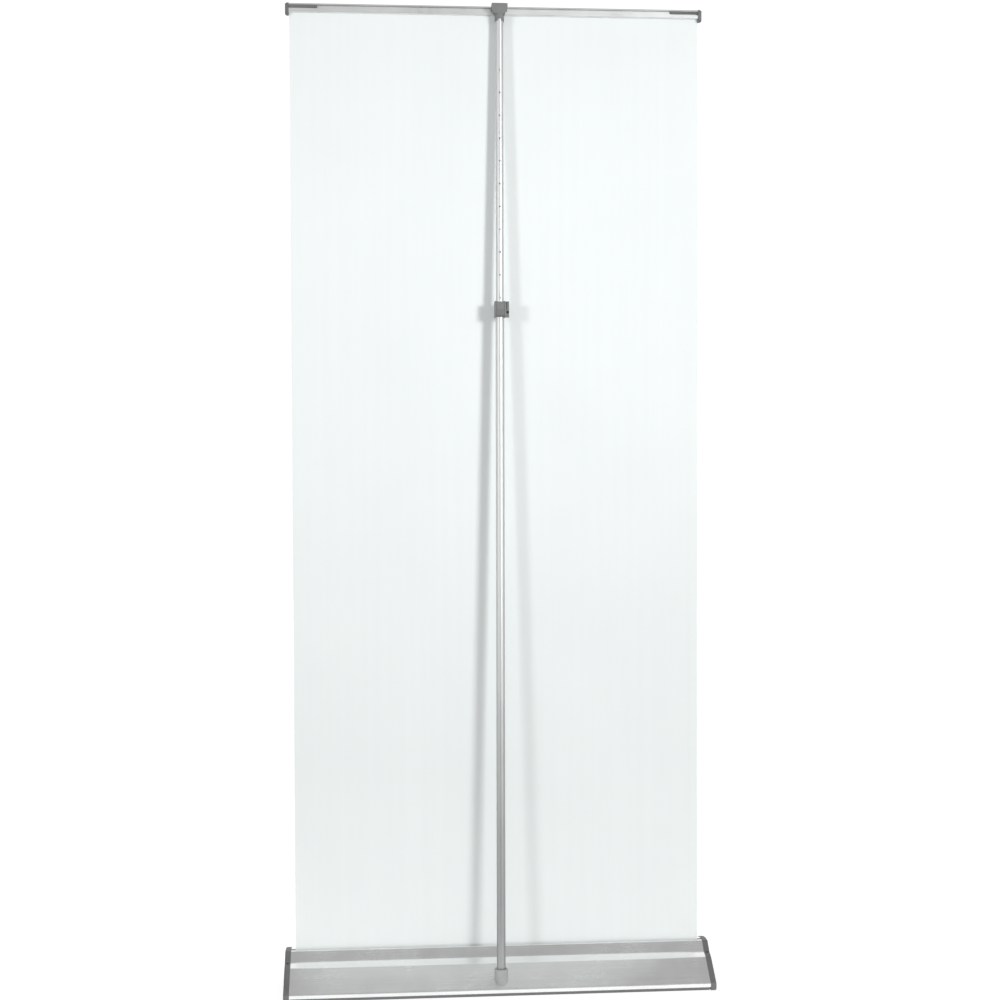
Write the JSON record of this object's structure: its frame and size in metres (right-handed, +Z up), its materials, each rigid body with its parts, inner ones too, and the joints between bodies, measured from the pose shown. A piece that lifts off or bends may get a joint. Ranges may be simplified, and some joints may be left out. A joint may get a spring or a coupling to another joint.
{
  "type": "roll-up banner stand",
  "caption": "Retractable banner stand: spring roller in a wide aluminium base, plain film, top rail, and a telescopic pole behind that props the rail.",
  "frame": {"origin": "on the floor, at the middle of the base's footprint, under the film", "axes": "+Z up along the film and the pole, +X along the base, +Y from the film towards the pole behind it; the printed side faces -Y"},
  "size_m": [0.892, 0.204, 2.0418],
  "materials": {
    "satin_aluminium": "satin anodised, fine extrusion lines",
    "rail_aluminium": "satin anodised",
    "tube_aluminium": "drawn tube, satin anodised",
    "grey_plastic": "moulded, fine texture",
    "moulded_plastic": "moulded nylon",
    "steel": "zinc plated",
    "black_screws": "blackened",
    "rubber": "matte",
    "elastic": "braided elastic",
    "film": "matt display film, unprinted side",
    "grip_strip": "extruded PVC"
  },
  "bodies": {
    "cassette": {"base_housing": "satin_aluminium", "end_cap_left": "grey_plastic", "end_cap_right": "grey_plastic", "end_cap_screws": "black_screws", "end_cap_plugs": "black_screws", "front_foot_strip": "rubber", "rear_foot_strip": "rubber", "spring_spindle": "steel", "spring_arbor": "moulded_plastic", "motor_spring": "steel", "idler_axle": "steel", "pole_socket": "satin_aluminium", "socket_screw": "steel", "banner_sheet": "film"},
    "roller": {"roller_tube": "tube_aluminium", "spring_end_bush": "moulded_plastic", "spring_drive_plug": "moulded_plastic", "idler_plug": "moulded_plastic", "banner_wraps": "film"},
    "top_rail": {"rail_profile": "rail_aluminium", "rail_grip_strip": "grip_strip", "rail_end_cap_left": "grey_plastic", "rail_end_cap_right": "grey_plastic"},
    "lower_pole": {"foot_plug": "moulded_plastic", "bottom_tube": "tube_aluminium", "section_ferrule": "steel", "middle_tube": "tube_aluminium", "bungee_cord": "elastic", "cord_anchors": "elastic", "lock_collar": "grey_plastic", "collar_screw": "black_screws", "lever_pin": "steel", "lever_spring": "steel"},
    "lock_lever": {"lock_lever": "grey_plastic", "brake_shoe": "rubber"},
    "upper_pole": {"upper_tube": "tube_aluminium", "guide_bush": "moulded_plastic", "head_clip": "grey_plastic", "head_pin": "steel"}
  },
  "joints": [
    {"name": "banner_pull", "type": "slide", "parent": "cassette", "child": "top_rail", "axis": [0, 0, 1], "range_m": [-1.931, 0], "deforming": ["banner_sheet"]},
    {"name": "roller_spin", "type": "hinge", "parent": "cassette", "child": "roller", "pos_m": [0, 0.01685, 0.038], "axis": [-1, 0, 0], "range_deg": [-6700, 60]},
    {"name": "pole_tilt", "type": "hinge", "parent": "cassette", "child": "lower_pole", "pos_m": [0, 0.08, 0.024], "axis": [-1, 0, 0], "range_deg": [0, 3]},
    {"name": "pole_extend", "type": "slide", "parent": "lower_pole", "child": "upper_pole", "axis": [-0.0037, -0.0316, 0.9995], "range_m": [-0.56, 0]},
    {"name": "lever_press", "type": "hinge", "parent": "lower_pole", "child": "lock_lever", "pos_m": [-0.00519, 0.04899, 1.4122], "axis": [-1, 0, -0.0037], "range_deg": [0, 8], "stiffness_Nm_per_rad": 0.05, "springref_deg": -5.73, "deforming": ["lever_spring"]}
  ],
  "couplings": [
    {"joint": "roller_spin", "follows": "banner_pull", "rad_per_m": 59.347}
  ]
}
